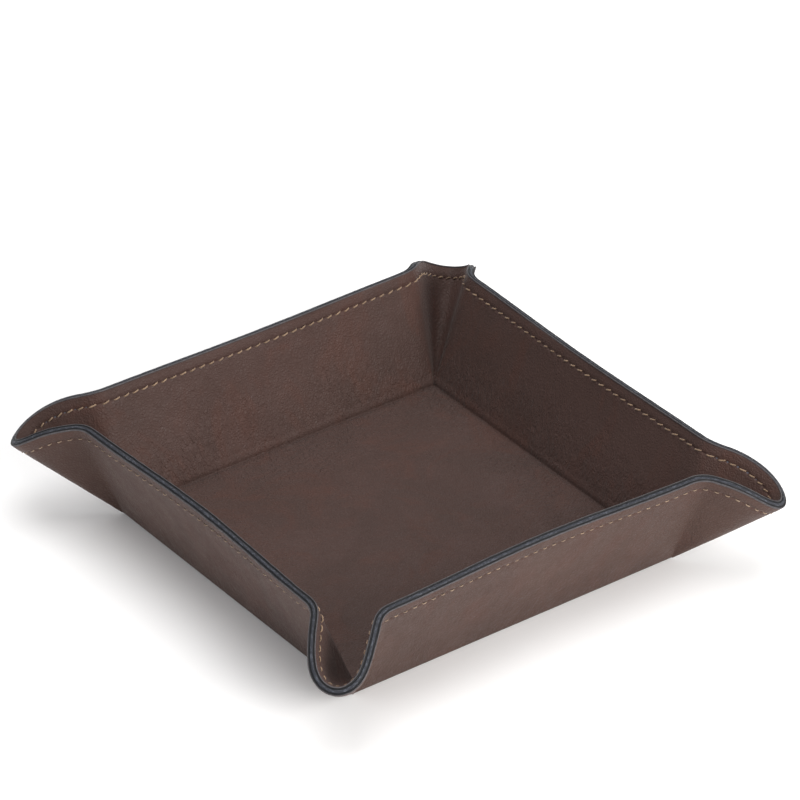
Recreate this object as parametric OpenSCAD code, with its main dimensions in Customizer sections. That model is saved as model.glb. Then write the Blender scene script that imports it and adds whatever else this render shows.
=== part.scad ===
// Square leather desk tray, folded up from one flat laminated sheet.
//
// The sheet is a leather cover, a layer of stiffeners and a leather lining. The
// floor is flat. Four walls lean outward from it, and at each floor corner the
// sheet stays in one piece and folds into a soft pouring spout. Nothing is cut
// away and nothing is stretched, so every spout is a cone whose apex is the
// floor corner, and a shape drawn on the flat sheet keeps its lengths when the
// sheet is folded. The rim and both rows of stitching are drawn on the flat
// sheet and then folded with it.
//
// Millimetres, +Z up. The origin is the centre of the underside.

/* [Floor and walls] */
// Side of the square floor, between the outer creases
floor_side = 162; // [150:1:180]
// Length of a wall, up its slope from the outer crease to the rim
wall_length = 53.2; // [50:0.1:58]
// Angle between a wall and the table
wall_lean = 68.3; // [66:0.1:70]
// Corner radius of the flat sheet
sheet_corner_r = 46.9; // [40:0.1:49]
// How far the middle of each rim bends in towards the tray
rim_bow = 2.3; // [0:0.1:3.5]

/* [Spout folds] */
// Where a flank bend is centred, in degrees round the floor corner from the wall's end
flank_centre = -1.1; // [-2.5:0.1:0]
// Half the width of a flank bend, in degrees round the floor corner
flank_spread = 8.5; // [7:0.5:12]
// Half the width of the valley bend, in degrees round the floor corner
valley_spread = 30; // [26:0.5:33]

/* [Laminate] */
// Thickness of the outer leather
cover_t = 1.1; // [0.9:0.1:1.3]
// Thickness of the stiffeners between the leathers
core_t = 1.2; // [1:0.1:1.6]
// Thickness of the inner leather
lining_t = 1.1; // [0.9:0.1:1.3]
// Bare strip left at each floor crease so that the sheet can fold there
crease_gap = 1.6; // [1:0.1:2.5]
// Gap between a wall board and the corner core beside it
butt_gap = 0.4; // [0.2:0.1:0.8]

/* [Rim edge] */
// Thickness of the painted edge at the crown of a bead
edge_t = 0.5; // [0.3:0.05:0.8]
// Thickness of the painted edge in the two grooves between the beads
edge_groove_t = 0.2; // [0.1:0.05:0.25]

/* [Stitching] */
// Distance of the seam from the rim
seam_inset = 5.4; // [4:0.1:7]
// Distance from one needle hole to the next
stitch_pitch = 4.7; // [4:0.1:6]
// Width of the sewing thread
thread_w = 0.8; // [0.6:0.05:1]
// Height of a stitch above the leather
thread_h = 0.5; // [0.3:0.05:0.7]
// How far each stitch slants across the seam line
stitch_slant = 0.5; // [0:0.05:0.8]

/* [Hidden] */

b = floor_side / 2;
core_lo = cover_t;
core_hi = cover_t + core_t;
sheet_t = cover_t + core_t + lining_t;
mitre = tan(wall_lean / 2);
fold_start = flank_centre - flank_spread;
// Rim coordinate, along a wall, where the flat part of the wall gives way to the spout
flat_half = b + wall_length * tan(fold_start);
// Steps from the start of a spout to its valley, and from mid wall to the spout
fan_steps = 28;
wall_steps = 8;
turn = (45 - fold_start) / fan_steps;

leather_out = [0.42, 0.35, 0.31];
leather_in = [0.35, 0.27, 0.24];
board_grey = [0.55, 0.52, 0.48];
felt_grey = [0.38, 0.40, 0.44];
paint_navy = [0.20, 0.22, 0.27];
thread_tan = [0.72, 0.58, 0.42];

// ---- Small helpers ----

function unit(v) = v / norm(v);
function mix(p, q, f) = p + (q - p) * f;
function swap(p) = [p.y, p.x, p.z];
function spin(p, q) = q == 0 ? p : spin([-p.y, p.x, p.z], q - 1);

// ---- How a corner folds ----
// A ray is a straight line up the sheet from a floor corner. Its fold angle is 0 on
// the wall that faces +X and 90 on the wall that faces +Y. A ray's frame is
// [direction of the ray, direction across the ray in the sheet].

// A smooth bump of unit area, used to spread a bend
function bump(a, centre, half) =
    let (x = (a - centre) / half)
    abs(x) < 1 ? (1 + cos(180 * x)) / (2 * half) : 0;

// Bend of the sheet per degree at angle a, for total bends [flank, valley]
function bend(a, total) =
    total.y * bump(a, 45, valley_spread) - total.x * bump(a, flank_centre, flank_spread)
    - total.x * bump(a, 90 - flank_centre, flank_spread);

// Moves a frame one step round the corner, bending the sheet by k on the way
function step(f, k) =
    let (ray = f[0] * cos(turn) + f[1] * sin(turn),
         side = f[1] * cos(turn) - f[0] * sin(turn))
    [ray, side * cos(k) + cross(ray, side) * sin(k)];

// Frames of the rays from the start of the fold to the valley
function fan(total) =
    let (up = [cos(wall_lean), 0, sin(wall_lean)], along = [0, 1, 0],
         first = [up * cos(fold_start) + along * sin(fold_start),
                  along * cos(fold_start) - up * sin(fold_start)])
    [for (i = 0, f = first; i <= fan_steps;
          f = step(f, turn * bend(fold_start + (i + 0.5) * turn, total)), i = i + 1) f];

// The valley ray has to lie in the diagonal plane with the sheet square to it
function miss(total) =
    let (f = fan(total)[fan_steps], up = cross(f[0], f[1]))
    [f[0].x - f[0].y, up.x - up.y];

// Newton's method for the two total bends that close the corner
function close_corner(total, rounds) =
    rounds == 0 ? total :
    let (e = 0.01, m = miss(total),
         u = (miss(total + [e, 0]) - m) / e, v = (miss(total + [0, e]) - m) / e,
         d = u.x * v.y - v.x * u.y)
    close_corner(total - [m.x * v.y - v.x * m.y, u.x * m.y - m.x * u.y] / d, rounds - 1);

rays = fan(close_corner([45, 158], 8));

// Direction of the ray at angle a and the sheet's inward normal there, up to the valley
function ray_at(a) =
    let (x = (a - fold_start) / turn, i = max(0, min(fan_steps - 1, floor(x))), f = x - i,
         ray = unit(mix(rays[i][0], rays[i + 1][0], f)),
         side = mix(rays[i][1], rays[i + 1][1], f))
    [ray, unit(cross(ray, side))];

// ---- The flat sheet ----
// A flat point is [x, y] from a floor corner, with x out across the +X wall and y
// out across the +Y wall. The outline is a square with round corners.

// Distance from the floor corner to the rim along the ray at angle a
function reach(a) =
    let (c = wall_length - sheet_corner_r, q = (cos(a) + sin(a)) * c)
    a > 45 ? reach(90 - a) :
    wall_length * tan(a) <= c ? wall_length / cos(a) :
    q + sqrt(q * q - 2 * c * c + sheet_corner_r * sheet_corner_r);

// Inward bow of the rim, at coordinate y from the middle of the wall
function bow(y) = abs(y) < b ? rim_bow * pow(cos(90 * y / b), 2) : 0;

// ---- Folding ----
// Level k is the surface at height k in the laminate, 0 on the underside.

// Point of the +X wall: u runs -1 to 1 along it, s runs 0 to 1 up it
function wall_point(u, s, k) =
    let (foot = [b - k * mitre, u * (b - k * mitre), k], lift = k + bow(u * flat_half),
         rim = [b + wall_length * cos(wall_lean) - lift * sin(wall_lean), u * flat_half,
                wall_length * sin(wall_lean) + lift * cos(wall_lean)])
    mix(foot, rim, s);

// Point of the folded sheet, in the corner at +X +Y, for flat point p at level k
function fold(p, k) =
    p.y > p.x ? swap(fold([p.y, p.x], k)) :
    let (a = atan2(p.y, p.x), s = p.x / wall_length)
    a <= fold_start ? wall_point((b + p.y) / mix(b, flat_half, s), s, k) :
    let (r = reach(a), f = ray_at(a), lift = k + (a < 0 ? bow(b + r * sin(a)) : 0),
         foot = [b - k * mitre, b - k * mitre, k],
         rim = [b, b, 0] + r * f[0] + lift * f[1])
    mix(foot, rim, norm(p) / r);

// Flat rim points of one quarter, from the middle of one wall to the next
rim_half = [for (i = [0 : wall_steps - 1]) [wall_length, flat_half * i / wall_steps - b]];
rim_fan = [for (i = [0 : 2 * fan_steps]) let (a = fold_start + i * turn)
           reach(a) * [cos(a), sin(a)]];
rim_quarter = concat(rim_half, rim_fan,
                     [for (i = [wall_steps - 1 : -1 : 1]) [rim_half[i].y, rim_half[i].x]]);
quarter_n = len(rim_quarter);

// Outward normal, on the flat sheet, of the outline or of any line parallel to it
function flat_normal(p) =
    let (c = wall_length - sheet_corner_r)
    p.y <= c ? [1, 0] : p.x <= c ? [0, 1] : unit(p - [c, c]);

// Direction that leaves the folded sheet across the rim at flat point p
function off_edge(p, k) = unit(fold(p, k) - fold(p - 0.5 * flat_normal(p), k));

// ---- Solids ----

// Skin between equal rings of points. A closed loft joins its last ring to its first.
module loft(rings, closed = false) {
    m = len(rings[0]);
    n = len(rings);
    last = closed ? n : n - 1;
    sides = [for (j = [0 : last - 1], i = [0 : m - 1])
             let (p = j * m + i, q = j * m + (i + 1) % m,
                  r = (j + 1) % n * m + i, t = (j + 1) % n * m + (i + 1) % m)
             each [[p, q, t], [p, t, r]]];
    caps = closed ? [] : [[for (i = [m - 1 : -1 : 0]) i],
                          [for (i = [0 : m - 1]) (n - 1) * m + i]];
    polyhedron([for (ring = rings) each ring], concat(sides, caps), convexity = 10);
}

// The whole folded sheet between levels k0 and k1, with one foot point for each spout
module sheet_layer(k0, k1) {
    feet_n = 8 * wall_steps;
    rim_n = 4 * quarter_n;
    level_n = feet_n + rim_n + 1;
    // Foot that rim point j of a quarter stands on
    function foot(j) =
        j < wall_steps ? j : j <= wall_steps + 2 * fan_steps ? wall_steps : j - 2 * fan_steps;
    function foot_points(k, q) =
        [for (i = [0 : 2 * wall_steps - 1])
         let (u = min(i, 2 * wall_steps - i) / wall_steps, p = wall_point(u, 0, k))
         spin(i <= wall_steps ? p : swap(p), q)];
    function level(k) =
        concat([for (q = [0 : 3]) each foot_points(k, q)],
               [for (q = [0 : 3], p = rim_quarter) spin(fold(p, k), q)],
               [[0, 0, k]]);
    function flip(face, on) = on ? [face[2], face[1], face[0]] : face;
    function level_faces(o, down) = [
        for (i = [0 : feet_n - 1]) flip([o + level_n - 1, o + (i + 1) % feet_n, o + i], down),
        for (i = [0 : rim_n - 1])
            let (q = floor(i / quarter_n), j = i % quarter_n,
                 f = o + q * 2 * wall_steps + foot(j),
                 g = o + (q * 2 * wall_steps + foot(j + 1)) % feet_n,
                 r = o + feet_n + i, t = o + feet_n + (i + 1) % rim_n)
            each f == g ? [flip([f, t, r], down)]
                        : [flip([f, t, r], down), flip([f, g, t], down)]];
    edge_faces = [for (i = [0 : rim_n - 1])
                  let (p = feet_n + i, q = feet_n + (i + 1) % rim_n)
                  each [[p, level_n + q, q], [p, level_n + p, level_n + q]]];
    polyhedron(concat(level(k0), level(k1)),
               concat(level_faces(0, true), level_faces(level_n, false), edge_faces),
               convexity = 10);
}

// Stiff board in the wall that faces +X
module wall_board() {
    foot_s = crease_gap / wall_length;
    end_u = 1 - butt_gap / b;
    loft([for (i = [-wall_steps : wall_steps])
          let (u = end_u * i / wall_steps)
          [wall_point(u, foot_s, core_lo), wall_point(u, 1, core_lo),
           wall_point(u, 1, core_hi), wall_point(u, foot_s, core_hi)]]);
}

// Soft core of the spout at +X +Y, stopping short of the floor corner
module corner_core() {
    foot_s = 2 * crease_gap / wall_length;
    gap = 2 * butt_gap / wall_length * 180 / PI;
    loft([for (i = [0 : 2 * fan_steps])
          let (a = mix(fold_start + gap, 90 - fold_start - gap, i / (2 * fan_steps)),
               p = reach(a) * [cos(a), sin(a)])
          [fold(foot_s * p, core_lo), fold(p, core_lo),
           fold(p, core_hi), fold(foot_s * p, core_hi)]]);
}

// Flat point of the seam at length l from the middle of the +X wall
seam_r = sheet_corner_r - seam_inset;
seam_c = wall_length - sheet_corner_r;
seam_quarter = 2 * (b + seam_c) + seam_r * PI / 2;
function seam_flat(l) =
    l > seam_quarter / 2 ? let (p = seam_flat(seam_quarter - l)) [p.y, p.x] :
    l <= b + seam_c ? [wall_length - seam_inset, l - b] :
    let (a = (l - b - seam_c) / seam_r * 180 / PI) [seam_c, seam_c] + seam_r * [cos(a), sin(a)];

// One strand on the face at level k, side 1 for the inner face and -1 for the outer.
// The strand is full size along each stitch and narrows to a hair at each needle hole.
module strand(k, side) {
    count = round(seam_quarter / stitch_pitch);
    pitch = seam_quarter / count;
    clear = 0.04;
    // Along the stitch, size and sideways offset at each section
    shape = [[0, 0.22, 0], [0.16, 0.85, -0.5], [0.5, 1, 0], [0.84, 0.85, 0.5]];
    function section(l, size, shift) =
        let (p = seam_flat(l), out = off_edge(p, k), c = fold(p, k) + side * shift * stitch_slant * out,
             up = side * unit(cross(out, unit(fold(seam_flat(l + 0.2), k) - fold(p, k)))),
             w = size * thread_w / 2 * out, h = size * thread_h * up)
        [c + clear * up - w, c + clear * up + w, c + h + 0.55 * w, c + h - 0.55 * w];
    rings = [for (q = [0 : 3], i = [0 : count - 1], f = shape)
             let (ring = section((i + f[0]) * pitch, f[1], f[2]))
             [for (p = ring) spin(p, q)]];
    loft(side > 0 ? rings : [for (ring = rings) [for (i = [3 : -1 : 0]) ring[i]]], closed = true);
}

// ---- Pieces ----

module outer_cover() color(leather_out) sheet_layer(0, core_lo);

module lining() color(leather_in) sheet_layer(core_hi, sheet_t);

module base_board() color(board_grey) {
    side = floor_side - 2 * (core_hi * mitre + crease_gap);
    translate([-side / 2, -side / 2, core_lo]) cube([side, side, core_t]);
}

module wall_board_right() color(board_grey) wall_board();
module wall_board_back() color(board_grey) rotate(90) wall_board();
module wall_board_left() color(board_grey) rotate(180) wall_board();
module wall_board_front() color(board_grey) rotate(270) wall_board();

module corner_core_back_right() color(felt_grey) corner_core();
module corner_core_back_left() color(felt_grey) rotate(90) corner_core();
module corner_core_front_left() color(felt_grey) rotate(180) corner_core();
module corner_core_front_right() color(felt_grey) rotate(270) corner_core();

// Painted bead round the whole rim, with a groove over each joint of the laminate
module painted_edge() color(paint_navy) {
    mid = (core_lo + core_hi) / 2;
    profile = [[0, 0], [0, 0.6 * edge_t], [core_lo / 2, edge_t], [core_lo, edge_groove_t],
               [mid, edge_t], [core_hi, edge_groove_t], [(core_hi + sheet_t) / 2, edge_t],
               [sheet_t, 0.6 * edge_t], [sheet_t, 0]];
    loft([for (q = [0 : 3], p = rim_quarter) let (out = off_edge(p, 0))
          [for (f = profile) spin(fold(p, f.x) + f.y * out, q)]], closed = true);
}

module inner_thread() color(thread_tan) strand(sheet_t, 1);
module outer_thread() color(thread_tan) strand(0, -1);

outer_cover();
lining();
base_board();
wall_board_front();
wall_board_right();
wall_board_back();
wall_board_left();
corner_core_front_right();
corner_core_back_right();
corner_core_back_left();
corner_core_front_left();
painted_edge();
inner_thread();
outer_thread();
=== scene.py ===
import math

import bpy
import numpy as np
from mathutils import Matrix, Vector


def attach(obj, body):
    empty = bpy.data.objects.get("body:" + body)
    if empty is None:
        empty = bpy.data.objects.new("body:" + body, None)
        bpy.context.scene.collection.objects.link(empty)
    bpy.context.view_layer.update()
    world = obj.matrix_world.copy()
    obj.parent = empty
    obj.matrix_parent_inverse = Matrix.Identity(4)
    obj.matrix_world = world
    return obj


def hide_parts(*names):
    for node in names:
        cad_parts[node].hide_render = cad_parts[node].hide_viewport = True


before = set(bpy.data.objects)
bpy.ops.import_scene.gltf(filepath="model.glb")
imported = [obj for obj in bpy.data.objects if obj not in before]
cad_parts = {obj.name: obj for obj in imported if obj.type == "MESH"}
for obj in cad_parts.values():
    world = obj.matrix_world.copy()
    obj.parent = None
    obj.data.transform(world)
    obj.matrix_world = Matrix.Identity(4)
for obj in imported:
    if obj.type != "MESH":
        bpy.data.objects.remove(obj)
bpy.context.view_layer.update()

MM = 0.001

# ---------------------------------------------------------------------------
# The folded sheet. These are the CAD source's own sizes, in millimetres and degrees.
# ---------------------------------------------------------------------------
FLOOR_HALF = 81.0
WALL = 53.2                 # wall length up its slope
LEAN = 68.3                 # angle between a wall and the table
CORNER_R = 46.9             # corner radius of the flat sheet
RIM_BOW = 2.3
FLANK_CENTRE = -1.1
FLANK_SPREAD = 8.5
VALLEY_SPREAD = 30.0
COVER, CORE, LINING = 1.1, 1.2, 1.1
SHEET = COVER + CORE + LINING
SEAM_INSET = 5.4
STITCH_PITCH = 4.7          # PITCH is the nearest to it that divides the seam evenly

LEAN_RAD = math.radians(LEAN)
MITRE = math.tan(LEAN_RAD / 2)
COS, SIN = math.cos(LEAN_RAD), math.sin(LEAN_RAD)
FOLD_START = FLANK_CENTRE - FLANK_SPREAD
FLAT_HALF = FLOOR_HALF + WALL * math.tan(math.radians(FOLD_START))
CORNER_C = WALL - CORNER_R  # centre of the rounded corner, from the floor's corner
SEAM_R = CORNER_R - SEAM_INSET
SEAM_QUARTER = 2 * (FLOOR_HALF + CORNER_C) + SEAM_R * math.pi / 2
STITCHES = round(SEAM_QUARTER / STITCH_PITCH)
PITCH = SEAM_QUARTER / STITCHES

# Level of each show face in the sheet, and the way out of the sheet there
LEVEL = {"in": SHEET, "out": 0.0}
SIGN = {"in": 1.0, "out": -1.0}

FAN_STEPS = 240
TURN = (45 - FOLD_START) / FAN_STEPS


def bend_share(a, centre, spread):
    """Share of a bend at angle a, as a smooth bump that adds up to 1."""
    x = (a - centre) / spread
    return np.where(np.abs(x) < 1, (1 + np.cos(np.pi * x)) / (2 * spread), 0.0)


def fan(flank, valley):
    """Rays of half a spout and the directions beside them, for given total bends of flank and valley."""
    mids = FOLD_START + (np.arange(FAN_STEPS) + 0.5) * TURN
    bends = np.radians(TURN * (valley * bend_share(mids, 45, VALLEY_SPREAD)
                               - flank * bend_share(mids, FLANK_CENTRE, FLANK_SPREAD)
                               - flank * bend_share(mids, 90 - FLANK_CENTRE, FLANK_SPREAD)))
    up_wall, along = np.array([COS, 0, SIN]), np.array([0, 1.0, 0])
    a = math.radians(FOLD_START)
    ray = up_wall * math.cos(a) + along * math.sin(a)
    side = along * math.cos(a) - up_wall * math.sin(a)
    ct, st = math.cos(math.radians(TURN)), math.sin(math.radians(TURN))
    rays, sides = [ray], [side]
    for bend in bends:
        ray, flat_side = ray * ct + side * st, side * ct - ray * st
        side = flat_side * math.cos(bend) + np.cross(ray, flat_side) * math.sin(bend)
        rays.append(ray)
        sides.append(side)
    return np.array(rays), np.array(sides)


def miss(bends):
    """How far the fan's last ray and normal are from the diagonal plane."""
    rays, sides = fan(*bends)
    up = np.cross(rays[-1], sides[-1])
    return np.array([rays[-1][0] - rays[-1][1], up[0] - up[1]])


def close_corner(bends, rounds=8, nudge=0.01):
    """Flank and valley bends that bring the two halves of a spout together."""
    for _ in range(rounds):
        now = miss(bends)
        slope = np.array([(miss(bends + d) - now) / nudge for d in ([nudge, 0], [0, nudge])]).T
        bends = bends - np.linalg.solve(slope, now)
    return bends


RAYS, SIDES = fan(*close_corner(np.array([45.0, 158.0])))
UPS = np.cross(RAYS, SIDES)


def reach(a, size=WALL, radius=CORNER_R):
    """Distance from the floor's corner to an outline of this size and corner radius, at angle a."""
    a = np.minimum(a, 90 - a)
    ar = np.radians(a)
    c = size - radius
    q = (np.cos(ar) + np.sin(ar)) * c
    arc = q + np.sqrt(np.maximum(q * q - 2 * c * c + radius * radius, 0))
    return np.where(size * np.tan(ar) <= c, size / np.cos(ar), arc)


def bow(y):
    """Outward bow of a rim, y from mid wall."""
    return np.where(np.abs(y) < FLOOR_HALF, RIM_BOW * np.cos(np.pi / 2 * y / FLOOR_HALF) ** 2, 0.0)


def wall_point(u, s, k):
    """Point of the +X wall: u along it, s up it, both as shares, at level k."""
    foot = np.stack([FLOOR_HALF - k * MITRE, u * (FLOOR_HALF - k * MITRE), k + 0 * u], -1)
    lift = k + bow(u * FLAT_HALF)
    rim = np.stack([FLOOR_HALF + WALL * COS - lift * SIN, u * FLAT_HALF, WALL * SIN + lift * COS], -1)
    return foot + (rim - foot) * s[..., None]


def unit(v):
    return v / np.linalg.norm(v, axis=-1, keepdims=True)


def fold(x, y, k):
    """Points of the folded sheet in the corner at +X +Y, for flat points (x, y) at levels k."""
    x, y, k = np.broadcast_arrays(np.asarray(x, float), np.asarray(y, float), np.asarray(k, float))
    swap = y > x
    px, py = np.where(swap, y, x), np.where(swap, x, y)
    a = np.degrees(np.arctan2(py, px))
    s = px / WALL
    wall = wall_point((FLOOR_HALF + py) / (FLOOR_HALF + (FLAT_HALF - FLOOR_HALF) * s), s, k)
    in_fan = np.clip(a, FOLD_START, 45)
    i = np.clip((in_fan - FOLD_START) / TURN, 0, FAN_STEPS - 1e-9)
    j = i.astype(int)
    f = (i - j)[..., None]
    ray = unit(RAYS[j] * (1 - f) + RAYS[j + 1] * f)
    up = unit(UPS[j] * (1 - f) + UPS[j + 1] * f)
    r = reach(in_fan)
    lift = k + np.where(in_fan < 0, bow(FLOOR_HALF + r * np.sin(np.radians(in_fan))), 0.0)
    foot = np.stack([FLOOR_HALF - k * MITRE, FLOOR_HALF - k * MITRE, k], -1)
    rim = np.array([FLOOR_HALF, FLOOR_HALF, 0]) + r[..., None] * ray + lift[..., None] * up
    cone = foot + (rim - foot) * (np.hypot(px, py) / r)[..., None]
    out = np.where((a <= FOLD_START)[..., None], wall, cone)
    return np.where(swap[..., None], out[..., [1, 0, 2]], out)


def spin(p, quarters):
    """Points turned about Z by quarter turns."""
    for _ in range(quarters % 4):
        p = np.stack([-p[..., 1], p[..., 0], p[..., 2]], -1)
    return p


def flat_normal(x, y):
    """Direction straight out to the rim, for flat points."""
    d = np.stack([x - CORNER_C, y - CORNER_C], -1)
    d = d / np.maximum(np.linalg.norm(d, axis=-1, keepdims=True), 1e-9)
    d = np.where((x <= CORNER_C)[..., None], [0.0, 1.0], d)
    return np.where((y <= CORNER_C)[..., None], [1.0, 0.0], d)


def seam_coords(x, y):
    """Length along the seam from mid wall, and distance in from the rim, for flat points."""
    phi = np.arctan2(y - CORNER_C, x - CORNER_C)
    after = np.where(x <= CORNER_C, SEAM_QUARTER - FLOOR_HALF - x, FLOOR_HALF + CORNER_C + SEAM_R * phi)
    length = np.where(y <= CORNER_C, FLOOR_HALF + y, after)
    round_in = CORNER_R - np.hypot(x - CORNER_C, y - CORNER_C)
    inset = np.where(y <= CORNER_C, WALL - x, np.where(x <= CORNER_C, WALL - y, round_in))
    return length, inset


def line_flat(length, inset):
    """Flat points at this seam length, on the line that lies inset from the rim."""
    length = np.asarray(length, float)
    h = np.minimum(length, SEAM_QUARTER - length)
    phi = (h - FLOOR_HALF - CORNER_C) / SEAM_R
    r = CORNER_R - inset
    straight = h <= FLOOR_HALF + CORNER_C
    x = np.where(straight, WALL - inset, CORNER_C + r * np.cos(phi))
    y = np.where(straight, h - FLOOR_HALF, CORNER_C + r * np.sin(phi))
    far = length > SEAM_QUARTER / 2
    return np.where(far, y, x), np.where(far, x, y)


def rim_frame(x, y, k, back=0.4, across=0.3):
    """Position, direction off the rim, direction along it and inward normal of the folded sheet."""
    n = flat_normal(x, y)
    p = fold(x, y, k)
    off = unit(p - fold(x - back * n[..., 0], y - back * n[..., 1], k))
    up = fold(x, y, k + across) - fold(x, y, k - across)
    along = unit(np.cross(up, off))
    return p, off, along, np.cross(off, along)


# ---------------------------------------------------------------------------
# Seeded smooth noise in space
# ---------------------------------------------------------------------------
def waves(count, shortest, longest, seed):
    """Sum of plane waves in random directions, with wavelengths in mm between these two."""
    g = np.random.default_rng(seed)
    k = g.normal(size=(count, 3))
    k /= np.linalg.norm(k, axis=1, keepdims=True)
    k *= 2 * np.pi / g.uniform(shortest, longest, (count, 1))
    phase = g.uniform(0, 2 * np.pi, count)
    size = g.uniform(0.5, 1.0, count)
    size /= np.sqrt((size ** 2).sum() / 2)

    def height(p):
        out = np.zeros(len(p))
        for i in range(count):
            out += size[i] * np.sin(p @ k[i] + phase[i])
        return out
    return height


SLOW = waves(9, 45, 120, 11)
MEDIUM = waves(12, 14, 34, 12)
QUICK = waves(14, 4, 9, 13)

# ---------------------------------------------------------------------------
# Leather: grid of flat points
# ---------------------------------------------------------------------------
WALL_COLUMNS, FAN_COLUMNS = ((124, 244))
RIM_ZONE = 10.0             # rows follow the rim this far in, and the floor's corner below it
# Rows by distance from the rim, close together at the rolled edge and on both sides of the seam
RIM_ROWS = np.array([0, .12, .28, .5, .8, 1.2, 1.7, 2.3, 2.9, 3.4, 3.9, 4.3, 4.6, 4.85, 5.05, 5.25, 5.4,
                     5.55, 5.75, 5.95, 6.2, 6.5, 6.9, 7.5, 8.3, 9.1, RIM_ZONE])
# Rows by distance from the crease, close together at the crease
CREASE_ROWS = np.concatenate([np.linspace(WALL - RIM_ZONE, 8, 26)[1:],
                              [6.8, 5.8, 5.0, 4.3, 3.7, 3.1, 2.6, 2.2, 1.8, 1.4, 1.05, .7, .35, 0]])
U_WALL = np.arange(WALL_COLUMNS) / WALL_COLUMNS
U_FLOOR = np.concatenate([[-1.0], -U_WALL[:0:-1], U_WALL, [1.0]])


def fan_angles():
    """Angles of the fan columns, evenly spaced along the seam."""
    a = np.linspace(FOLD_START, 90 - FOLD_START, 4001)
    r = reach(a, WALL - SEAM_INSET, SEAM_R)
    x, y = r * np.cos(np.radians(a)), r * np.sin(np.radians(a))
    d = np.concatenate([[0], np.cumsum(np.hypot(np.diff(x), np.diff(y)))])
    return np.interp(np.linspace(0, 1, FAN_COLUMNS + 1) * d[-1], d, a)


FAN_A = fan_angles()


def quarter_grid():
    """Flat points of a quarter: rows from the rim to the crease, columns from mid wall to mid wall."""
    rows = np.concatenate([WALL - RIM_ROWS, CREASE_ROWS])
    xs, ys = [], []
    for i, x in enumerate(rows):
        half = FLOOR_HALF + (FLAT_HALF - FLOOR_HALF) * (x / WALL)
        before = U_WALL * half - FLOOR_HALF
        after = U_WALL[::-1][:-1] * half - FLOOR_HALF
        if i < len(RIM_ROWS):
            r = reach(FAN_A, WALL - RIM_ROWS[i], CORNER_R - RIM_ROWS[i])
        else:
            r = reach(FAN_A, WALL - RIM_ZONE, CORNER_R - RIM_ZONE) * x / (WALL - RIM_ZONE)
        fan_x, fan_y = r * np.cos(np.radians(FAN_A)), r * np.sin(np.radians(FAN_A))
        xs.append(np.concatenate([x + 0 * before, fan_x, after]))
        ys.append(np.concatenate([before, fan_y, x + 0 * after]))
    return np.array(xs), np.array(ys)


GX, GY = quarter_grid()
ROWS, COLS = GX.shape

# ---------------------------------------------------------------------------
# Leather: height of a show face over the plain fold, in mm away from the sheet's middle
# ---------------------------------------------------------------------------
HOLE_SHARE = {"in": 1.0, "out": 0.8}
NOISE_SHIFT = {"in": 0, "out": 500}     # the two faces read different parts of the noise
STILL_ZONE = 6                          # the noise fades out over this distance from the crease
OUTER_FLOOR_NOISE = 0.15                # the underside is pressed flat by the table


def hump(x, centre, width):
    return np.exp(-((x - centre) / width) ** 2)


def seam_height(x, y, face):
    """Channel, needle holes, standing lip and rolled cut edge."""
    length, inset = seam_coords(x, y)
    from_hole = (length / PITCH - np.round(length / PITCH)) * PITCH
    d2 = from_hole ** 2 + (inset - SEAM_INSET) ** 2
    out = -0.20 * hump(inset, SEAM_INSET, 0.75)
    out += -0.42 * HOLE_SHARE[face] * np.exp(-d2 / (2 * 0.36 ** 2))
    out += 0.10 * hump(inset, 3.2, 1.3)
    out += -0.42 * np.exp(-np.maximum(inset, 0) / 0.28)
    return out


def noise_height(p, near, face):
    flat = p.reshape(-1, 3) + NOISE_SHIFT[face]
    out = 0.16 * SLOW(flat) + 0.05 * MEDIUM(flat) + 0.012 * QUICK(flat)
    return out.reshape(near.shape) * np.clip(near / STILL_ZONE, 0, 1)


def crease_height(near):
    """Groove of the crease in the lining."""
    return -0.46 * hump(near, 0, 0.8)


def ripple_height(near):
    """Ripples in the lining beside the crease. They start from nothing, so wall and floor meet there."""
    return np.clip(near, 0, 1) * (0.12 * hump(near, 2.4, 1.2) - 0.07 * hump(near, 4.9, 0.8))


def flank_height(near):
    """Low in a spout the thick leather rounds off the ridge of each flank bend."""
    out = 0.0
    for ridge in (FLANK_CENTRE, 90 - FLANK_CENTRE):
        across = np.radians(np.degrees(np.arctan2(GY, GX)) - ridge) * near
        out = out - 0.5 * hump(near, 0, 26) * (1 - hump(near, 0, 4)) * hump(across, 0, 2.4)
    return out


# ---------------------------------------------------------------------------
# Leather: meshes
# ---------------------------------------------------------------------------
WELD = 2e-3
EASE = {"in": (2.0, 4), "out": (3.2, 10)}   # reach in mm and rounds of the easing at the crease
EASE_SHARE = 0.55
FLOOR_RIM_MM = 3000         # added to the rim distance of floor points, far past any on the walls
HIDDEN_MM = 20              # distance from rim and crease given to the hidden faces' points


def weld(points):
    """First point of each group that coincides, and the group of every point."""
    key = np.round(points / WELD).astype(np.int64)
    _, first, group = np.unique(key, axis=0, return_index=True, return_inverse=True)
    return first, group.ravel()


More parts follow.
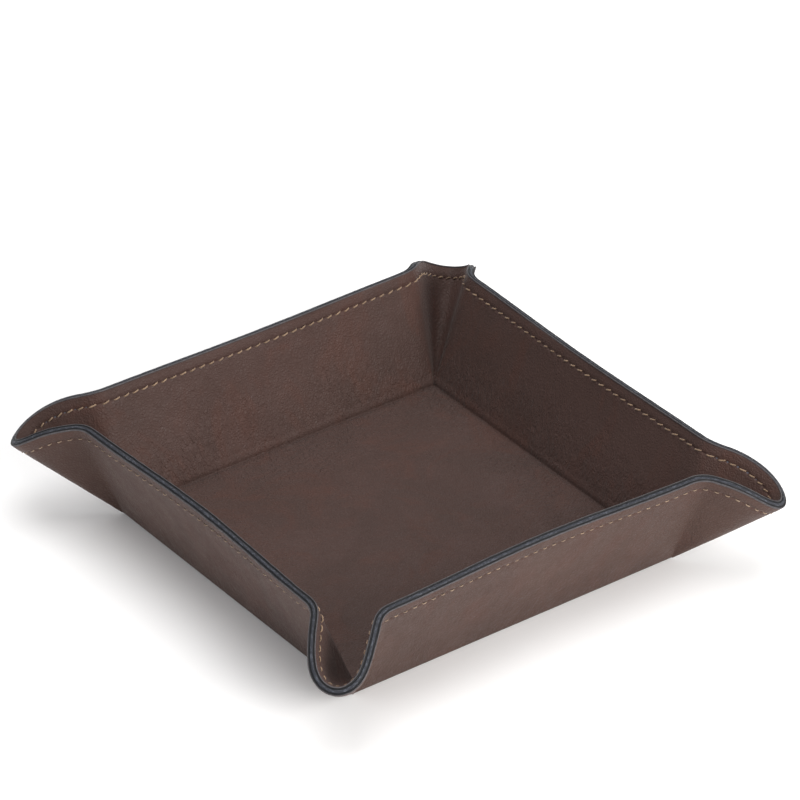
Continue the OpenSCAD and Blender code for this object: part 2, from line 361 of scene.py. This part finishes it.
def make_mesh(name, points, quads, tris, attrs):
    """Object from points in mm, with a float attribute for each entry of attrs."""
    me = bpy.data.meshes.new(name)
    me.vertices.add(len(points))
    me.vertices.foreach_set("co", (np.asarray(points, np.float32) * MM).ravel())
    quads = np.asarray(quads, np.int32).reshape(-1, 4)
    tris = np.asarray(tris, np.int32).reshape(-1, 3)
    loops = np.concatenate([quads.ravel(), tris.ravel()])
    sizes = np.concatenate([np.full(len(quads), 4), np.full(len(tris), 3)])
    starts = np.concatenate([[0], np.cumsum(sizes)[:-1]])
    me.loops.add(len(loops))
    me.loops.foreach_set("vertex_index", loops.astype(np.int32))
    me.polygons.add(len(sizes))
    me.polygons.foreach_set("loop_start", starts.astype(np.int32))
    me.polygons.foreach_set("loop_total", sizes.astype(np.int32))
    me.polygons.foreach_set("use_smooth", np.full(len(sizes), True))
    me.update(calc_edges=True)
    me.validate()
    for key, values in attrs.items():
        me.attributes.new(key, "FLOAT", "POINT").data.foreach_set("value", np.asarray(values, np.float32))
    ob = bpy.data.objects.new(name, me)
    bpy.context.scene.collection.objects.link(ob)
    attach(ob, "root")
    return ob


def drop_doubles(quads):
    """Splits quads whose corners were welded: whole ones, and triangles from those that lost one corner."""
    corners = np.sort(quads, axis=1)
    lost = (corners[:, 1:] == corners[:, :-1]).sum(1)
    tris = [list(dict.fromkeys(int(a) for a in q)) for q in quads[lost == 1]]
    return quads[lost == 0], np.array(tris, int).reshape(-1, 3)


def ease(points, quads, tris, weight, rounds):
    """Moves points toward the mean of their neighbours, by weight."""
    e = np.concatenate([quads[:, [0, 1]], quads[:, [1, 2]], quads[:, [2, 3]], quads[:, [3, 0]],
                        tris[:, [0, 1]], tris[:, [1, 2]], tris[:, [2, 0]]])
    e = np.unique(np.sort(e, axis=1), axis=0)
    e = e[(weight[e[:, 0]] > 0) | (weight[e[:, 1]] > 0)]
    n = len(points)
    degree = np.bincount(e.ravel(), minlength=n).astype(float)
    for _ in range(rounds):
        total = np.zeros_like(points)
        for c in range(3):
            total[:, c] = (np.bincount(e[:, 0], points[e[:, 1], c], minlength=n)
                           + np.bincount(e[:, 1], points[e[:, 0], c], minlength=n))
        mean = total / np.maximum(degree, 1)[:, None]
        points = points + (mean - points) * weight[:, None]
    return points


def wall_face(face):
    """Points of the four walls and spouts by column and row, with seam length, rim and crease distance."""
    near = np.where(np.minimum(GX, GY) < 0, np.maximum(GX, GY), np.hypot(GX, GY))
    near = np.clip(near, 0, None)
    length, inset = seam_coords(GX, GY)
    points, marks = [], []
    for q in range(4):
        base = spin(fold(GX, GY, LEVEL[face]), q)
        d = seam_height(GX, GY, face) + noise_height(base, near, face)
        if face == "in":
            d += crease_height(near) + ripple_height(near)
            d += flank_height(near)
        p = spin(fold(GX, GY, LEVEL[face] + SIGN[face] * d), q)
        points.append(p.transpose(1, 0, 2))
        marks.append(np.stack([length + q * SEAM_QUARTER, inset, near], -1).transpose(1, 0, 2))
    return np.concatenate(points), np.concatenate(marks)


def floor_face(face):
    """Points of the floor, with three marks as on the walls: two that keep clear of the rim, and minus the
    crease distance."""
    u, v = np.meshgrid(U_FLOOR, U_FLOOR, indexing="ij")
    near = np.minimum(1 - np.abs(u), 1 - np.abs(v)) * FLOOR_HALF
    base = np.stack([u * FLOOR_HALF, v * FLOOR_HALF, 0 * u + LEVEL[face]], -1)
    d = noise_height(base, near, face)
    if face == "in":
        d += crease_height(near)
        d += 0.06 * hump(near, 2.4, 1.3) * np.clip(near, 0, 1)
    else:
        d = np.minimum(d * OUTER_FLOOR_NOISE, 0)
    k = LEVEL[face] + SIGN[face] * d
    points = np.stack([u * (FLOOR_HALF - k * MITRE), v * (FLOOR_HALF - k * MITRE), k], -1)
    return points, np.stack([u * FLOOR_HALF, v * FLOOR_HALF + FLOOR_RIM_MM, -near], -1)


def show_face(face):
    """Points, quads, triangles and marks of one show face of the folded sheet, and its rim's points."""
    walls, wall_marks = wall_face(face)
    floor, floor_marks = floor_face(face)
    at = np.arange(len(walls) * ROWS).reshape(len(walls), ROWS)
    nxt = np.roll(at, -1, axis=0)
    wall_quads = np.stack([at[:, :-1], nxt[:, :-1], nxt[:, 1:], at[:, 1:]], -1).reshape(-1, 4)
    fl = (np.arange(len(U_FLOOR) ** 2) + at.size).reshape(len(U_FLOOR), -1)
    floor_quads = np.stack([fl[:-1, :-1], fl[1:, :-1], fl[1:, 1:], fl[:-1, 1:]], -1).reshape(-1, 4)
    points = np.concatenate([walls.reshape(-1, 3), floor.reshape(-1, 3)])
    marks = np.concatenate([wall_marks.reshape(-1, 3), floor_marks.reshape(-1, 3)])
    first, group = weld(points)
    points, marks = points[first], marks[first]
    quads, tris = drop_doubles(group[np.concatenate([wall_quads, floor_quads])])
    reach_mm, rounds = EASE[face]
    weight = np.clip(1 - np.abs(marks[:, 2]) / reach_mm, 0, 1) * EASE_SHARE
    points = ease(points, quads, tris, weight, rounds)
    if face == "out":
        points[:, 2] = np.maximum(points[:, 2], 0.0)
        quads, tris = quads[:, ::-1], tris[:, ::-1]
    return points, quads, tris, marks, group[at[:, 0]]


def leather_piece(name, face):
    """A closed leather: its show face, its hidden back face and the cut edge between them."""
    points, quads, tris, marks, rim = show_face(face)
    k = COVER + CORE if face == "in" else COVER
    back_rim = np.concatenate([spin(fold(GX[0], GY[0], k), q) for q in range(4)])
    foot = np.concatenate([spin(fold(GX[-1], GY[-1], k), q) for q in range(4)])
    first, group = weld(foot)
    shown, count = len(points), len(back_rim)
    points = np.concatenate([points, back_rim, foot[first], [[0, 0, k]]])
    back = np.arange(count) + shown
    feet = group + shown + count
    centre = len(points) - 1
    more_quads, more_tris = [], []
    for j in range(count):
        a, b = (j, (j + 1) % count) if face == "in" else ((j + 1) % count, j)
        more_quads.append([rim[a], back[a], back[b], rim[b]])
        if feet[a] == feet[b]:
            more_tris.append([back[a], feet[a], back[b]])
        else:
            more_quads.append([back[a], feet[a], feet[b], back[b]])
            more_tris.append([feet[a], centre, feet[b]])
    hidden = np.tile([0.0, HIDDEN_MM, HIDDEN_MM], (len(points) - shown, 1))
    marks = np.concatenate([marks, hidden])
    return make_mesh(name, points, np.concatenate([quads, more_quads]), np.concatenate([tris, more_tris]),
                     {"seam_l": marks[:, 0], "rim_d": marks[:, 1], "foot_d": marks[:, 2]})


# ---------------------------------------------------------------------------
# Painted edge: three rounded bands with two grooves
# ---------------------------------------------------------------------------
# Level in the sheet and height off the rim, from the underside round to the lining's face
EDGE_PROFILE = np.array([
    [-0.06, -0.30], [-0.10, -0.05], [-0.05, 0.16], [0.05, 0.29], [0.18, 0.34], [0.32, 0.29], [0.44, 0.15],
    [0.58, 0.05], [0.76, 0.02], [0.92, 0.05], [1.04, 0.16], [1.16, 0.31], [1.32, 0.40], [1.52, 0.44],
    [1.70, 0.45], [1.88, 0.44], [2.08, 0.40], [2.24, 0.31], [2.36, 0.16], [2.48, 0.05], [2.64, 0.02],
    [2.82, 0.05], [2.96, 0.15], [3.08, 0.29], [3.22, 0.34], [3.35, 0.29], [3.45, 0.16], [3.50, -0.05],
    [3.46, -0.30]])
EDGE_STEP = 0.45
EDGE_WOBBLE = 0.8


def tube_quads(at):
    """Quads round and along a grid of point numbers, rings by points. It is open at both ends."""
    a, b = at[:-1], at[1:]
    return np.stack([a, b, np.roll(b, -1, axis=1), np.roll(a, -1, axis=1)], -1).reshape(-1, 4)


def painted_edge():
    n = int(round(SEAM_QUARTER / EDGE_STEP))
    length = np.arange(n) / n * SEAM_QUARTER
    x, y = line_flat(length, 0.0)
    rings, along = [], []
    for q in range(4):
        section = []
        for k, height in EDGE_PROFILE:
            level = min(max(k, 0.0), SHEET)
            p, off, _, up = rim_frame(x, y, np.full(n, level))
            section.append(spin(p + off * height + up * (k - level), q))
        rings.append(np.stack(section, 1))
        along.append(length + q * SEAM_QUARTER)
    rings, along = np.concatenate(rings), np.concatenate(along)
    count, m = rings.shape[:2]
    flat = rings.reshape(-1, 3)
    wobble = (0.035 * QUICK(flat) + 0.04 * MEDIUM(flat)).reshape(count, m)
    away = unit(rings - rings.mean(1, keepdims=True))
    rings = rings + away * wobble[..., None] * EDGE_WOBBLE
    at = np.arange(count * m).reshape(count, m)
    return make_mesh("edge_paint", rings.reshape(-1, 3), tube_quads(np.concatenate([at, at[:1]])), (),
                     {"band_k": np.tile(EDGE_PROFILE[:, 0], count), "edge_l": np.repeat(along, m)})


# ---------------------------------------------------------------------------
# Stitches
# ---------------------------------------------------------------------------
# Shown share of the pitch, strand radius and slant in mm, and seed. The inner face's stitches are bolder.
THREAD = {"in": (0.63, 0.34, 0.40, 21), "out": (0.48, 0.22, 0.06, 22)}
RINGS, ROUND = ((15, 10))
END_DEPTH = 0.62            # how far a strand dips into its needle hole
PLY = 0.13                  # bulge of the two plies
TWIST = 2.6                 # radians per mm
FLAT = 0.86                 # height of a strand to its width
TIP = 0.1


def stitch(face, i, g):
    """Rings, end points and tone of stitch i, in the corner at +X +Y."""
    shown, radius, slant, _ = THREAD[face]
    t = np.linspace(-1, 1, RINGS)
    mid = (i + 0.5) * PITCH + g.normal(0, 0.05)
    half = 0.5 * PITCH * shown * g.uniform(0.93, 1.06)
    shift = t * slant * g.uniform(0.6, 1.35) * SIGN[face]
    x, y = line_flat(np.clip(mid + t * half, 0.001, SEAM_QUARTER - 0.001), SEAM_INSET)
    n = flat_normal(x, y)
    p, off, along, up = rim_frame(x - n[:, 0] * shift, y - n[:, 1] * shift, np.full(RINGS, LEVEL[face]))
    up = up * SIGN[face]
    lift = -END_DEPTH + (END_DEPTH + radius * 0.78) * (1 - np.abs(t) ** 4.5)
    fat = radius * (1 - 0.30 * np.abs(t) ** 5) * g.uniform(0.94, 1.07)
    mids = p + up * lift[:, None]
    angle = np.arange(ROUND) / ROUND * 2 * np.pi
    twist = t[:, None] * half * TWIST + g.uniform(0, 6)
    r = fat[:, None] * (1 + PLY * np.cos(2 * (angle[None] - twist)))
    rings = (mids[:, None] + off[:, None] * (r * np.cos(angle[None]))[..., None]
             + up[:, None] * (FLAT * r * np.sin(angle[None]))[..., None])
    ends = np.stack([mids[0] - along[0] * TIP - up[0] * TIP, mids[-1] + along[-1] * TIP - up[-1] * TIP])
    return rings.reshape(-1, 3), ends, g.uniform(0, 1)


def stitches(name, face):
    """Every stitch of one face: a two-ply strand up from one needle hole and down into the next."""
    g = np.random.default_rng(THREAD[face][3])
    points, quads, tris, tones = [], [], [], []
    base = 0
    for q in range(4):
        for i in range(STITCHES):
            rings, ends, tone = stitch(face, i, g)
            points += [spin(rings, q), spin(ends, q)]
            tones += [np.full(RINGS * ROUND, tone), np.full(2, 0.5)]
            at = np.arange(RINGS * ROUND).reshape(RINGS, ROUND) + base
            quads.append(tube_quads(at))
            tip = base + RINGS * ROUND
            for m in range(ROUND):
                n = (m + 1) % ROUND
                tris.append([at[0, m], at[0, n], tip])
                tris.append([at[-1, n], at[-1, m], tip + 1])
            base = tip + 2
    quads, tris = np.concatenate(quads), np.array(tris)
    if face == "out":
        quads, tris = quads[:, ::-1], tris[:, ::-1]
    return make_mesh(name, np.concatenate(points), quads, tris, {"tone": np.concatenate(tones)})


cover = leather_piece("leather_cover", "out")
lining = leather_piece("leather_lining", "in")
edge = painted_edge()
sti = stitches("stitches_inner", "in")
sto = stitches("stitches_outer", "out")

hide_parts("outer_cover")
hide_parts("lining")
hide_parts("painted_edge")
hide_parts("inner_thread")
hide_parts("outer_thread")


# ---------------------------------------------------------------------------
# Materials
# ---------------------------------------------------------------------------
def lin(*levels):
    """Linear colour of an 8-bit display colour."""
    def channel(v):
        return v / 255 / 12.92 if v / 255 <= 0.04045 else ((v / 255 + 0.055) / 1.055) ** 2.4
    return tuple(channel(v) for v in levels) + (1.0,)


def darker(colour, *shares):
    return tuple(c * s for c, s in zip(colour, shares)) + (1,)


class Mat:
    """A node material built round one Principled shader, on the object's own coordinates in metres."""

    def __init__(self, name):
        self.m = bpy.data.materials.new(name)
        self.m.use_nodes = True
        self.t = self.m.node_tree
        self.t.nodes.clear()
        self.out = self.t.nodes.new("ShaderNodeOutputMaterial")
        self.b = self.t.nodes.new("ShaderNodeBsdfPrincipled")
        self.link(self.b.outputs[0], self.out.inputs[0])
        self.co = self.t.nodes.new("ShaderNodeTexCoord").outputs["Object"]

    def link(self, a, b):
        self.t.links.new(a, b)

    def put(self, sock, v):
        if isinstance(v, (int, float, tuple, list)):
            sock.default_value = v
        else:
            self.link(v, sock)

    def noise(self, scale, detail=3, rough=0.55, distort=0.0, vec=None, out="Fac"):
        n = self.t.nodes.new("ShaderNodeTexNoise")
        self.link(vec or self.co, n.inputs["Vector"])
        n.inputs["Scale"].default_value = scale
        n.inputs["Detail"].default_value = detail
        n.inputs["Roughness"].default_value = rough
        n.inputs["Distortion"].default_value = distort
        return n.outputs[out]

    def voronoi(self, scale, feature, vec):
        n = self.t.nodes.new("ShaderNodeTexVoronoi")
        n.feature = feature
        self.link(vec, n.inputs["Vector"])
        n.inputs["Scale"].default_value = scale
        n.inputs["Randomness"].default_value = 1.0
        return n.outputs["Distance"]

    def mapping(self, scale, rot=(0, 0, 0)):
        n = self.t.nodes.new("ShaderNodeMapping")
        self.link(self.co, n.inputs["Vector"])
        n.inputs["Scale"].default_value = scale
        n.inputs["Rotation"].default_value = rot
        return n.outputs[0]

    def attr(self, name):
        n = self.t.nodes.new("ShaderNodeAttribute")
        n.attribute_name = name
        return n.outputs["Fac"]

    def math(self, op, a, b=0.0):
        n = self.t.nodes.new("ShaderNodeMath")
        n.operation = op
        self.put(n.inputs[0], a)
        self.put(n.inputs[1], b)
        return n.outputs[0]

    def remap(self, v, a, b, c=0.0, d=1.0):
        """v from a..b to c..d, with soft ends."""
        n = self.t.nodes.new("ShaderNodeMapRange")
        n.interpolation_type = "SMOOTHSTEP"
        self.put(n.inputs["Value"], v)
        for s, x in zip(("From Min", "From Max", "To Min", "To Max"), (a, b, c, d)):
            n.inputs[s].default_value = x
        return n.outputs[0]

    def mix(self, f, a, b):
        n = self.t.nodes.new("ShaderNodeMix")
        n.data_type = "RGBA"
        self.put(n.inputs[0], f)
        self.put(n.inputs[6], a)
        self.put(n.inputs[7], b)
        return n.outputs[2]

    def warped(self, scale, distance):
        """Coordinates pushed about by noise."""
        n = self.t.nodes.new("ShaderNodeVectorMath")
        n.operation = "MULTIPLY_ADD"
        self.link(self.noise(scale, 2, 0.5, 0, out="Color"), n.inputs[0])
        n.inputs[1].default_value = (distance,) * 3
        self.link(self.co, n.inputs[2])
        return n.outputs[0]

    def bump(self, height, dist, strength=1.0, normal=None):
        n = self.t.nodes.new("ShaderNodeBump")
        n.inputs["Strength"].default_value = strength
        n.inputs["Distance"].default_value = dist
        self.put(n.inputs["Height"], height)
        if normal is not None:
            self.link(normal, n.inputs["Normal"])
        return n.outputs[0]

    def set(self, key, v):
        self.put(self.b.inputs[key], v)


def leather(name, dark, mid, light, red, rough, wrinkle):
    m = Mat(name)
    rim, foot = m.attr("rim_d"), m.attr("foot_d")
    from_crease = m.math("ABSOLUTE", foot)
    # Colour: clouds, paler patches, reddish ones, then mottling
    cloud = m.noise(17, 5, 0.62, 0.6)
    patch = m.noise(31, 4, 0.6, 0.9)
    mottle = m.noise(140, 4, 0.65)
    fine = m.noise(900, 3, 0.7)
    ruddy = m.noise(34, 4, 0.68, 1.2, vec=m.mapping((1.0, 1.0, 0.6), (0.4, 0.9, 0.2)))
    col = m.mix(m.remap(cloud, 0.34, 0.66), dark, mid)
    col = m.mix(m.remap(patch, 0.48, 0.75, 0, 0.45), col, light)
    col = m.mix(m.remap(ruddy, 0.46, 0.68, 0, 0.50), col, red)
    col = m.mix(m.remap(mottle, 0.30, 0.75, 0, 0.28), col, dark)
    col = m.mix(m.remap(fine, 0.35, 0.7, 0.0, 0.16), col, light)
    # Painted highlight: paler where the leather turns over at the cut edge
    col = m.mix(m.remap(rim, 0.0, 0.9, 0.35, 0.0), col, light)
    # Painted shade: dark in the crease
    col = m.mix(m.remap(from_crease, 0.2, 1.7, 0.28, 0.0), col, darker(dark[:3], 0.45, 0.45, 0.45))
    m.set("Base Color", col)
    # Surface: soft unevenness, grain cells, pores, and wrinkles that are deepest near the crease
    warped = m.warped(260, 0.0012)
    cell = m.remap(m.voronoi(760, "DISTANCE_TO_EDGE", warped), 0.0, 0.30)
    pores = m.voronoi(700, "F1", warped)
    lines = m.noise(1.0, 3, 0.55, 1.1, vec=m.mapping((520, 520, 170), (0.25, 0.15, 0)))
    zone = m.remap(m.noise(24, 2, 0.5), 0.38, 0.62, 0.45, 0.95)
    low = m.remap(from_crease, 3, 40, 1.0, 0.30)
    depth = m.math("MULTIPLY", m.math("MULTIPLY", zone, low), wrinkle)
    nrm = m.bump(m.noise(75, 3, 0.5), 0.0007, 0.5)
    nrm = m.bump(cell, 0.00016, 0.6, nrm)
    nrm = m.bump(pores, 0.00010, 0.25, nrm)
    m.set("Normal", m.bump(m.math("MULTIPLY", lines, depth), 0.0014, 1.0, nrm))
    cloudy = m.remap(mottle, 0.3, 0.7, rough - 0.05, rough + 0.08)
    m.set("Roughness", m.math("ADD", m.remap(cell, 0, 1, 0.12, 0.0), cloudy))
    m.set("Specular IOR Level", 0.25)
    m.set("Sheen Weight", 0.06)
    m.set("Sheen Roughness", 0.45)
    return m.m


def edge_coating():
    m = Mat("edge_coating")
    k, along = m.attr("band_k"), m.attr("edge_l")
    slate, pale, groove, lip = lin(39, 41, 48), lin(84, 87, 96), lin(12, 13, 17), lin(80, 76, 78)
    # Coordinates that run along the rim and across it, so the flecks in the coating lie lengthwise
    strip = m.t.nodes.new("ShaderNodeCombineXYZ")
    m.put(strip.inputs[0], m.math("MULTIPLY", along, 0.55))
    m.put(strip.inputs[1], m.math("MULTIPLY", k, 1.9))
    fleck = m.noise(1.0, 4, 0.62, 0.7, vec=strip.outputs[0])
    from_middle = m.math("ABSOLUTE", m.math("SUBTRACT", k, SHEET / 2))
    # Painted highlight: the rounded lips at both faces take the light grey lip colour, with flecks
    painted_lip_highlight = m.mix(m.remap(fleck, 0.35, 0.65), darker(lip[:3], 0.7, 0.7, 0.72), lip)
    col = m.mix(m.remap(fleck, 0.48, 0.68, 0, 0.85), slate, pale)
    col = m.mix(m.remap(from_middle, 0.44, 0.68), col, groove)
    col = m.mix(m.remap(from_middle, 1.30, 1.48), col, painted_lip_highlight)
    m.set("Base Color", col)
    nrm = m.bump(fleck, 0.00035, 0.7)
    m.set("Normal", m.bump(m.noise(1600, 3, 0.6), 0.00012, 0.5, nrm))
    m.set("Roughness", m.remap(fleck, 0.3, 0.7, 0.62, 0.48))
    m.set("Specular IOR Level", 0.3)
    return m.m


def thread(name, a, b, shade):
    m = Mat(name)
    fibre = m.noise(2600, 3, 0.6, 0.4)
    col = m.mix(m.attr("tone"), a, b)
    m.set("Base Color", m.mix(m.remap(fibre, 0.35, 0.7, 0, 0.6), col, shade))
    m.set("Normal", m.bump(m.noise(3200, 3, 0.65, 0.5), 0.00012, 0.6))
    m.set("Roughness", m.remap(fibre, 0.3, 0.7, 0.55, 0.75))
    m.set("Sheen Weight", 0.25)
    return m.m


def board():
    m = Mat("board")
    f = m.noise(1.0, 4, 0.7, 0.3, vec=m.mapping((350, 350, 350)))
    m.set("Base Color", m.mix(f, lin(120, 112, 100), lin(156, 148, 134)))
    m.set("Normal", m.bump(m.noise(1500, 4, 0.7), 0.0002, 0.6))
    m.set("Roughness", m.remap(f, 0.3, 0.7, 0.8, 0.95))
    return m.m


def felt():
    m = Mat("core_fibre")
    f = m.noise(900, 5, 0.75, 0.6)
    m.set("Base Color", m.mix(f, lin(60, 62, 72), lin(104, 106, 116)))
    m.set("Normal", m.bump(m.noise(2200, 4, 0.7), 0.0002, 0.8))
    m.set("Roughness", m.remap(f, 0.3, 0.7, 0.85, 0.98))
    return m.m


def paper():
    m = Mat("floor_white")
    m.set("Base Color", m.mix(m.noise(6, 2), (0.94, 0.94, 0.945, 1), (0.95, 0.95, 0.952, 1)))
    m.set("Roughness", 0.75)
    m.set("Specular IOR Level", 0.15)
    return m.m


def give(ob, mat):
    """Puts mat in every material slot of ob."""
    if ob.data.materials:
        for i in range(len(ob.data.materials)):
            ob.data.materials[i] = mat
    else:
        ob.data.materials.append(mat)


give(cover, leather("leather_outer", lin(68, 49, 43), lin(75, 55, 48), lin(82, 61, 54), lin(80, 52, 44),
                    0.50, 0.4))
give(lining, leather("leather_inner", lin(63, 46, 41), lin(70, 51, 46), lin(76, 57, 53), lin(77, 48, 39),
                     0.52, 1.0))
give(edge, edge_coating())
give(sti, thread("thread_inner", lin(126, 101, 78), lin(150, 123, 98), lin(94, 73, 56)))
give(sto, thread("thread_outer", lin(136, 113, 92), lin(162, 138, 114), lin(106, 85, 68)))
MAT_BOARD, MAT_FELT = board(), felt()
for node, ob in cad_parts.items():
    if node.startswith("corner_core"):
        give(ob, MAT_FELT)
    elif node == "base_board" or node.startswith("wall_board"):
        give(ob, MAT_BOARD)

# ---------------------------------------------------------------------------
# Floor and light
# ---------------------------------------------------------------------------
bpy.ops.mesh.primitive_plane_add(size=8, location=(0, 0, -0.00002))
ground = bpy.context.object
ground.name = "floor"
give(ground, paper())

world = bpy.data.worlds.new("studio")
bpy.context.scene.world = world
world.use_nodes = True
background = world.node_tree.nodes["Background"]
background.inputs["Color"].default_value = (1.0, 1.0, 1.0, 1)
background.inputs["Strength"].default_value = 0.30
# White paper shows as white and the leathers keep their own colours
bpy.context.scene.view_settings.view_transform = "Standard"

# Name, place and size in metres, power in watts and colour. Each one faces the tray.
SOFTBOXES = [
    ("front", (0.3, -2.2, 1.1), (1.6, 1.2), 61, (1.0, 0.985, 0.96)),
    ("top", (0.1, 0.2, 2.0), (1.8, 1.8), 29, (1.0, 0.99, 0.98)),
    ("left", (-2.2, -0.3, 1.1), (1.6, 1.2), 15, (0.97, 0.985, 1.0)),
    ("right", (2.2, -0.6, 1.1), (1.6, 1.2), 11, (1.0, 0.99, 0.98)),
    ("back", (0.3, 2.2, 1.3), (1.6, 1.2), 8, (1.0, 1.0, 1.0)),
]
for name, place, size, watts, colour in SOFTBOXES:
    light = bpy.data.lights.new(name, "AREA")
    light.shape = "RECTANGLE"
    light.size, light.size_y = size
    light.energy = watts
    light.color = colour
    ob = bpy.data.objects.new(name, light)
    bpy.context.scene.collection.objects.link(ob)
    ob.location = place
    ob.rotation_euler = (-Vector(place)).to_track_quat("-Z", "Y").to_euler()

# ---------------------------------------------------------------------------
# Camera: a long lens, aimed a little above and to the right of the tray's middle
# ---------------------------------------------------------------------------
AZIMUTH = math.radians(53.46 + 180)
ELEVATION = math.radians(33.86)
DISTANCE = 2.5632
AIM_RIGHT, AIM_UP = 0.0007, 0.0213      # radians
SENSOR = 36
LENS = 279.108


def camera_axes(forward):
    """Right and up of a level camera that looks along forward."""
    right = unit(np.cross(forward, [0, 0, 1.0]))
    return right, np.cross(right, forward)


place = DISTANCE * np.array([math.cos(ELEVATION) * math.cos(AZIMUTH),
                             math.cos(ELEVATION) * math.sin(AZIMUTH), math.sin(ELEVATION)])
right, up = camera_axes(-unit(place))
forward = unit(-unit(place) + math.tan(AIM_RIGHT) * right + math.tan(AIM_UP) * up)
right, up = camera_axes(forward)
camera = bpy.data.cameras.new("camera")
camera.sensor_width = SENSOR
camera.lens = LENS
camera.clip_end = 50
ob = bpy.data.objects.new("camera", camera)
bpy.context.scene.collection.objects.link(ob)
turn = Matrix((tuple(right), tuple(up), tuple(-forward))).transposed()
ob.matrix_world = Matrix.Translation(Vector(place) + Vector((0, 0, SHEET / 2 * MM))) @ turn.to_4x4()
bpy.context.scene.camera = ob
